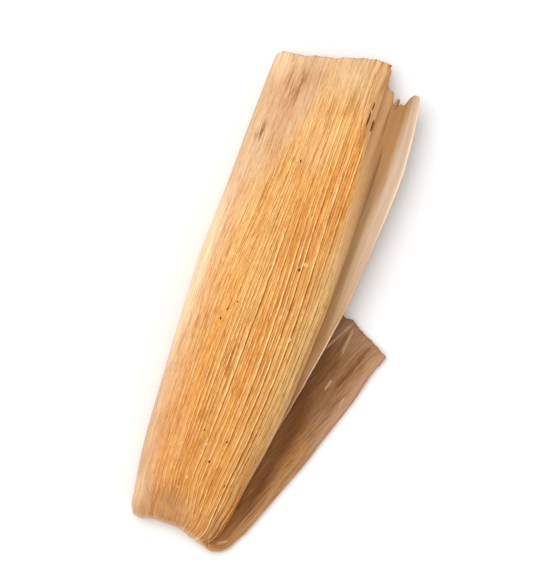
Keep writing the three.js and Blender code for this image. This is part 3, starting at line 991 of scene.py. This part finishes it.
def husk_material():
    """The roll, the fold and the tail: a ribbed, fibrous leaf with smooth margins."""
    material = bpy.data.materials.new("corn_husk")
    n = Nodes(material)
    skin = n["skin"]
    ribbed = 1.0 - skin * 0.8
    middle = n.strands(26, 1.1, 3)
    fine = n.strands(26, 3.4, 3, 0.6)
    dash = n.strands(4.5, 2.2, 3, 0.65)
    lines = rib_lines(n, dash)
    colour = husk_colour(n, skin, ribbed, lines)
    grain = fine * 0.5 + (middle * 0.28 + dash * 0.22)
    calm = n.larger(skin * 0.5, n.larger(n["wall"], n["tail"]))
    colour = dyed(n, colour, grain, 0.9 - calm * 0.5)
    crest, _, thin, _ = lines
    raised = ribbed * (1.0 - n["tail"] * 0.6)
    height = fine * 0.7 + (middle * 0.5 + dash * 0.5) + (crest * raised * 0.3 + thin * raised * 0.15)
    n.surface(colour, n.ramp(fine, 0.3, 0.7, 0.5, 0.66), height, 0.5, 0.3)
    return material


def margin_material():
    """The thin, smooth margin of the leaf: tan at its root, where the valley's shade is painted, pale and
    rosy at its edge.
    """
    material = bpy.data.materials.new("husk_margin")
    n = Nodes(material)
    fine = n.strands(30, 3.5, 4, 0.6)
    middle = n.strands(30, 0.8, 3)
    colour = n.coats(
        CREAM,
        (n["valley"], valley_colour(n)),
        (n["deep"], VALLEY_DEEP),
        (n["rim"], PALE_EDGE),
    )
    colour = dyed(n, colour, fine * 0.4 + middle * 0.6, 0.28)
    n.surface(colour, n.ramp(fine, 0.3, 0.7, 0.5, 0.64), fine + middle, 0.4, 0.2)
    return material


# ---- Pieces ----

# Loops from a torn edge back into the slit between its layers, each with its depth and how much of the
# edge's height and width is left there.
MOUTH_SLIT = (
    (24, 0.12, 0.9), (12, 0.4, 0.95), (5, 0.62, 0.97), (1.5, 0.8, 0.98), (0.1, 0.86, 0.985),
)
TAIL_SLIT = ((0.05, 0.7, 1), (1.2, 0.45, 1), (4, 0.15, 1))
MOUTH_BACK_WAY = (0, -1, 0)  # from the mouth back into the roll
TAIL_BACK_WAY = (-0.31, -0.94, 0)  # and from the cut back along the tail
TABLE_GAP = 0.02  # between the leaf's lowest points and the table

# Soft patches of colour on the front. The rose patch in the left side's crease and the dull patch at the
# foot are partly painted shade.
FRONT_PATCHES = dict(
    pale=((0.15, (-9, 24), (7, 26)), (0.35, (-14, 8), (5, 9)), (0.34, (4.5, 132), (8, 16))),
    rose=(
        (0.7, (-12.8, 94), (4, 26)), (0.5, (-11, 72), (4, 16)),
        (0.6, (-10, 144), (9, 20)), (0.8, (-4, 4), (12, 12)),
    ),
    dull_and_shade=((0.25, (-12, 60), (5, 50)), (0.14, (-6.5, 118), (7, 40)), (0.8, (-3, 4), (15, 13))),
    smudge=((0.8, (-8.6, 147), (5, 9)), (0.9, (-14.6, 129), (2.2, 5))),
    ash=((1, (12.5, 3.5), (5.5, 9)),),
)
WARM_PATCHES = (
    (0.28, (14, 112), (14, 50)), (0.6, (18, 119), (2.8, 18)),
    (-0.25, (10, 138), (6, 12)), (0.35, (7, 74), (8, 48)),
)
# Along the tail's right edge: how wide its lit margin is, and how deep the roll's shadow, painted in brown,
# is beyond that.
LIT_MARGIN = curve((0, 2), (8, 2.4), (16, 4), (24, 6.2), (34, 6.6), (52, 8.6), (72, 7.5))
TAIL_SHADOW_DEPTH = curve((-6, 0.5), (0, 0.75), (8, 1), (36, 1), (52, 0.8), (68, 0.5))
TAIL_DARK_SPOT = ((60, 6.2), (10, 1.8))  # its place and reach, along the tail and in from its edge

FLAP_VALLEY_X = 25.8  # where the valley between the roll and the flap is deepest
FLAP_PATTERN = (80, 89)  # where its fibres lie in the noise, past those of the roll

INNER_LAYERS = ((0.9, 1.6), (-0.7, 2.8))  # each one's height in the slit and its distance behind the mouth
INNER_LAYER_X = (-14.5, 17.5)
INNER_LAYER_FROM_Y = 136
INNER_LAYER_THICKNESS = 0.3


def slit_rows(edge, middle_z, back, loops):
    rows = []
    for depth, height, width in loops:
        row = edge * (width, 1, 1) + np.array(back) * depth
        row[:, 2] = blend(middle_z, edge[:, 2], height)
        rows.append(row)
    return np.array(rows)


def add_husk(material):
    along = row_places()
    plain = plain_loop()
    across, raised, side = husk_columns(along)
    points = resample(plain, across, side)
    normals = resample(loop_normals(plain), across, side)
    normals /= np.linalg.norm(normals, axis=2, keepdims=True)
    u = leaf_across(across, side)
    phase = rib_phase(u, along, across)
    skin = smooth_skin(along, across, side)
    vein = rib_strength(phase, points[..., 0], along, across, side)
    height = raised + husk_relief(points, along, across, side, u, phase, vein, skin)
    rows = points + normals * height[..., None]
    rows[..., 2] = np.maximum(rows[..., 2], TABLE_GAP)
    x, y = rows[..., 0], rows[..., 1]
    lip, cut = rows[0], rows[-1]
    middle = side_line(MOUTH_Y, width_share(lip[:, 0], MOUTH_Y))
    mouth = slit_rows(lip, middle, MOUTH_BACK_WAY, MOUTH_SLIT)
    end = slit_rows(cut, TAIL_THICKNESS / 2 + 0.2, TAIL_BACK_WAY, TAIL_SLIT)
    values = dict(x=x, y=y, across=u, along=along, rib=phase, vein=vein, skin=skin, warm=warmth(x, along))
    front = (side > 0) * smooth(along, -5, 3)
    values.update({name: front * zone for name, zone in front_zones(x, y).items()})
    values.update(layer_zones(x, y, across, side, wall_start(along)))
    values.update(tail_zones(x, y, along, side))
    repeats = [len(mouth) + 1] + [1] * (len(rows) - 2) + [len(end) + 1]
    values = {key: np.repeat(value + 0 * across, repeats, axis=0) for key, value in values.items()}
    grid_piece("husk_roll", np.concatenate([mouth, rows, end]), values, material)


def front_zones(x, y):
    """How strongly each tint, painted highlight and painted shade shows on the front."""
    zones = {name: patches(x, y, places) for name, places in FRONT_PATCHES.items()}
    from_left, from_right, from_edge = x - ROLL_LEFT(y), x - ROLL_RIGHT(y), x - FRONT_EDGE(y)
    # The left side: a painted highlight along its rounded edge, its milky shoulder, its corner at the mouth,
    # and painted shade in the creases at its foot.
    side = fade(from_left, 1.5, 5) * spot(x, y, (-19, 80), (9, 48))
    milky = 0.22 * fade(from_left, 5, 12) * window(y, 28, 50, 90, 112)
    corner = 0.5 * spot(x, y, (-15, 157), (9, 14))
    zones["pale"] = zones["pale"] + np.maximum(np.maximum(side, milky), corner)
    zones["dull_and_shade"] = zones["dull_and_shade"] + 0.35 * foot_creases(x, y)
    # The shoulder on the right: its paler crowded ribs, with painted light brightening it where it turns
    # away from the lamp, and the pale line along its lower edge.
    zones["gilt"] = smooth(from_right, -7.5, -3) * spot(x, y, (22, 76), (9, 84))
    zones["edge"] = 0.4 * smooth(from_right, -2.2, -0.7) * window(y, 13, 25, 44, 66)
    # At the mouth, the top layer's creamy corner, a painted highlight on its last strong rib, the shaded
    # strip beyond it and a painted shadow along its free edge.
    zones["cream"] = smooth(y, 141, 153) * smooth(x, -6, 6)
    zones["ridge"] = 0.55 * ridge(x - RIDGE_X + 0.3, 0.45) * smooth(y, 134, 146)
    zones["strip"] = smooth(x - RIDGE_X, 0.6, 1.4) * fade(from_edge, -0.2, 0.4) * smooth(y, 132, 148)
    zones["lip"] = ridge(from_edge + 0.3, 0.6) * smooth(y, 130, 140)
    return zones


def layer_zones(x, y, across, side, start):
    """The smooth layer below the top one, browner near the mouth, and the valley between it and the flap,
    with painted shade in the valley.
    """
    return dict(
        wall=(side > 0) * smooth(across, start - 0.006, start + 0.014) * smooth(y, 84, 100),
        valley=(side > 0) * smooth(x - ROLL_RIGHT(y), -3.6, -0.2) * smooth(y, 100, 126),
        browner_and_shaded=smooth(y, 108, 136),
    )


def tail_zones(x, y, along, side):
    """The tail, with its lit margin and the roll's shadow painted on it in deep brown, and the fold's pale
    rim.
    """
    up, inward = tail_place(x, y)
    pinched = smooth(x - PINCH_X, -0.2, 0.8) * fade(along, 0, 1.6)
    below = fade(along, -22, -4)
    fold_rim = fade(y - FOLD_EDGE(x), 0.2, 1.7) * fade(y, 3, 5)
    return dict(
        tail=np.where(side < 0, fade(along, -2, 6), np.maximum(pinched, below)),
        shade=tail_shade(up, inward, x - ROLL_RIGHT(y)),
        gold=fade(up, 30, 46),
        rim=fade(inward, 1.6, 3.4) * blend(0.3, 1, smooth(up, 26, 44)),
        lined=fade(inward, 2.5, 5) * fade(up, 18, 36),
        ended=0.5 * smooth(up, 63, 71),
        lean=tail_lean(along),
        turned=fade(up, 0, 9),
        fold_rim=blend(0.45, 0.8, smooth(x, 7, 10)) * fold_rim,
    )


def tail_place(x, y):
    """Distance along the tail's right edge from the fold, and in from it."""
    start, end = np.array(TAIL_RIGHT)
    length = math.dist(start, end)
    way = (end - start) / length
    up = (x - start[0]) * way[0] + (y - start[1]) * way[1]
    edge = start[0] + TAIL_BOW(up / length)
    return up, (edge - x) * way[1] + (y - start[1]) * way[0]


def tail_shade(up, inward, from_roll):
    """How deep the tail's brown, the roll's painted shadow, is: pale along its right edge, deepest in the
    roll's lee.
    """
    reach = LIT_MARGIN(up)
    softness = 2.2 + 3 * smooth(up, 34, 48)
    deep = TAIL_SHADOW_DEPTH(up) * smooth(inward, reach - softness, reach + softness)
    deep = deep + 0.4 * spot(up, inward, *TAIL_DARK_SPOT)
    return np.clip(deep - 0.5 * fade(from_roll, 0.5, 4.5), 0, 1)


def warmth(x, along):
    """How deep the leaf's orange is: deeper to the right and towards the foot."""
    low = 0.55 * fade(along, 20, 100) * (1 - 0.8 * smooth(x, 6, 16))
    return 0.3 + low - 0.4 * smooth(along, 128, 156) + patches(x, along, WARM_PATCHES)


def two_faces(count):
    """Shares across a thin sheet, over its upper face and back along its lower one, with each one's side."""
    share = np.linspace(0, 1, count)
    return np.concatenate([share, share[::-1]]), np.repeat([1.0, -1.0], count)


def sheet_rows(x, y, middle_z, face, thickness):
    return np.stack(np.broadcast_arrays(x, y, middle_z + face * 0.5 * thickness), -1)


def add_flap(material):
    """The thin margin that stands out along the right side, from inside the roll to its own edge."""
    share, face = two_faces(FLAP_GRID[0])
    along = np.linspace(0, 1, FLAP_GRID[1])[:, None]
    y = blend(FLAP_END(share) + waves(share, 1, FLAP_END_TEARS), FLAP_FROM_Y, along)
    root = ROLL_RIGHT(y) - FLAP_ROOT
    edge = FLAP_EDGE_X(y) + waves(y, 1, FLAP_EDGE_TEARS)
    x = blend(root, np.maximum(root + 1, edge), share)
    z = blend(RIGHT_LINE(y) + FLAP_LIFT(y), FLAP_EDGE_Z(y), share**FLAP_CURL)
    z = z - FLAP_SAG * np.sin(np.pi * share) + waves(y, share, FLAP_WAVES) * share
    thick = FLAP_THICKNESS * blend(1, FLAP_THIN_EDGE, smooth(share, 0.7, 1))
    values = flap_zones(x, y, share)
    values["across"] = blend(*FLAP_PATTERN, share)
    values["along"] = y
    grid_piece("husk_flap", sheet_rows(x, y, z, face, thick), values, material, flip=True)


def flap_zones(x, y, share):
    """The flap's pale rim and, towards its root, the valley beside the roll: painted shade, deepest in the
    crevice and over the whole flap low down, where the roll's shadow falls.
    """
    high = smooth(y, 106, 126)
    beside = fade(x, FLAP_VALLEY_X + 0.9 * high, FLAP_VALLEY_X + 3.2 + 0.7 * high)
    deep = 0.6 * fade(np.abs(x - FLAP_VALLEY_X), 0.4, 1.4)
    return dict(
        rim=smooth(share, 0.9, 0.97) * (1 - 0.75 * window(y, 70, 84, 98, 116)),
        valley=np.maximum(beside, 0.7 * fade(y, 76, 100)),
        browner_and_shaded=np.maximum(smooth(y, 104, 134), 0.5 * fade(np.abs(y - 76), 4, 14)),
        deep=deep * window(y, 64, 82, 118, 136),
    )


def add_inner_layer(index, level, setback, material):
    """A layer of the leaf that shows in the slit of the mouth."""
    share, face = two_faces(INNER_LAYER_GRID[0])
    along = np.linspace(0, 1, INNER_LAYER_GRID[1])[:, None]
    x = blend(*INNER_LAYER_X, share)
    end = MOUTH_EDGE(x) - setback + waves(x, index + 0.5, (0.8, 0.4, 1, 61))
    y = blend(end, INNER_LAYER_FROM_Y, along)
    wave = waves(x, y + 140 * index, (0.3, 0.3, 0.05, 62))
    z = side_line(MOUTH_Y, share) + (level + wave) * dome(share, 0.5, 2.5) * blend(1, 0.3, along)
    # Half-way to the valley's painted shade, and browner.
    values = dict(across=x + 40 * index, along=y, rim=0, valley=0.5, browner_and_shaded=1, deep=0)
    rows = sheet_rows(x, y, z, face, INNER_LAYER_THICKNESS)
    grid_piece(f"husk_layer_{index}", rows, values, material, flip=True)


# ---- Camera, floor and light ----

LEAN = math.radians(19)  # the roll's axis leans this far to the right in the picture
PICTURE = (533, 586)
MM_PER_PIXEL = 0.32
FOOT_PIXEL = (172, 528)  # where the roll's foot, x = y = 0, lies in the picture
CAMERA_HEIGHT = 1.5
SENSOR = 36.0
FLOOR_HALF = 2.0
FLOOR_GREY = (0.93, 0.93, 0.93, 1)
SKY_STRENGTH = 0.62
KEY_DIRECTION = (-0.38, 0.2, 0.9)
KEY_STRENGTH = 1.96
KEY_SOFTNESS = math.radians(65)


def add_camera():
    right = (PICTURE[0] / 2 - FOOT_PIXEL[0]) * MM_PER_PIXEL
    down = (PICTURE[1] / 2 - FOOT_PIXEL[1]) * MM_PER_PIXEL
    x = right * math.cos(LEAN) + down * math.sin(LEAN)
    y = right * math.sin(LEAN) - down * math.cos(LEAN)
    data = bpy.data.cameras.new("camera")
    data.sensor_width = SENSOR
    data.lens = SENSOR * CAMERA_HEIGHT / (PICTURE[1] * MM_PER_PIXEL * MM)
    camera = add_object("camera", data)
    camera.location = ((x + to_frame[0]) * MM, (y + to_frame[1]) * MM, CAMERA_HEIGHT)
    camera.rotation_euler = (0, 0, LEAN)
    bpy.context.scene.camera = camera


def add_floor():
    mesh = bpy.data.meshes.new("floor")
    corners = [(x * FLOOR_HALF, y * FLOOR_HALF, 0) for x, y in ((-1, -1), (1, -1), (1, 1), (-1, 1))]
    mesh.from_pydata(corners, [], [(0, 1, 2, 3)])
    material = bpy.data.materials.new("pale_floor")
    material.use_nodes = True
    shader = material.node_tree.nodes["Principled BSDF"]
    shader.inputs["Base Color"].default_value = FLOOR_GREY
    shader.inputs["Roughness"].default_value = 0.9
    shader.inputs["Specular IOR Level"].default_value = 0.1
    mesh.materials.append(material)
    floor = add_object("floor", mesh)


def add_light():
    world = bpy.data.worlds.new("studio")
    world.use_nodes = True
    sky = world.node_tree.nodes["Background"]
    sky.inputs["Color"].default_value = (1, 1, 1, 1)
    sky.inputs["Strength"].default_value = SKY_STRENGTH
    bpy.context.scene.world = world
    bpy.context.scene.view_settings.view_transform = "Standard"
    data = bpy.data.lights.new("key", "SUN")
    data.energy = KEY_STRENGTH
    data.angle = KEY_SOFTNESS
    key = add_object("key", data)
    key.rotation_euler = Vector(KEY_DIRECTION).to_track_quat("Z", "Y").to_euler()


add_camera()
add_floor()
add_light()
husk = husk_material()
margin = margin_material()
add_husk(husk)
add_flap(margin)
for index, (level, setback) in enumerate(INNER_LAYERS, 1):
    add_inner_layer(index, level, setback, margin)
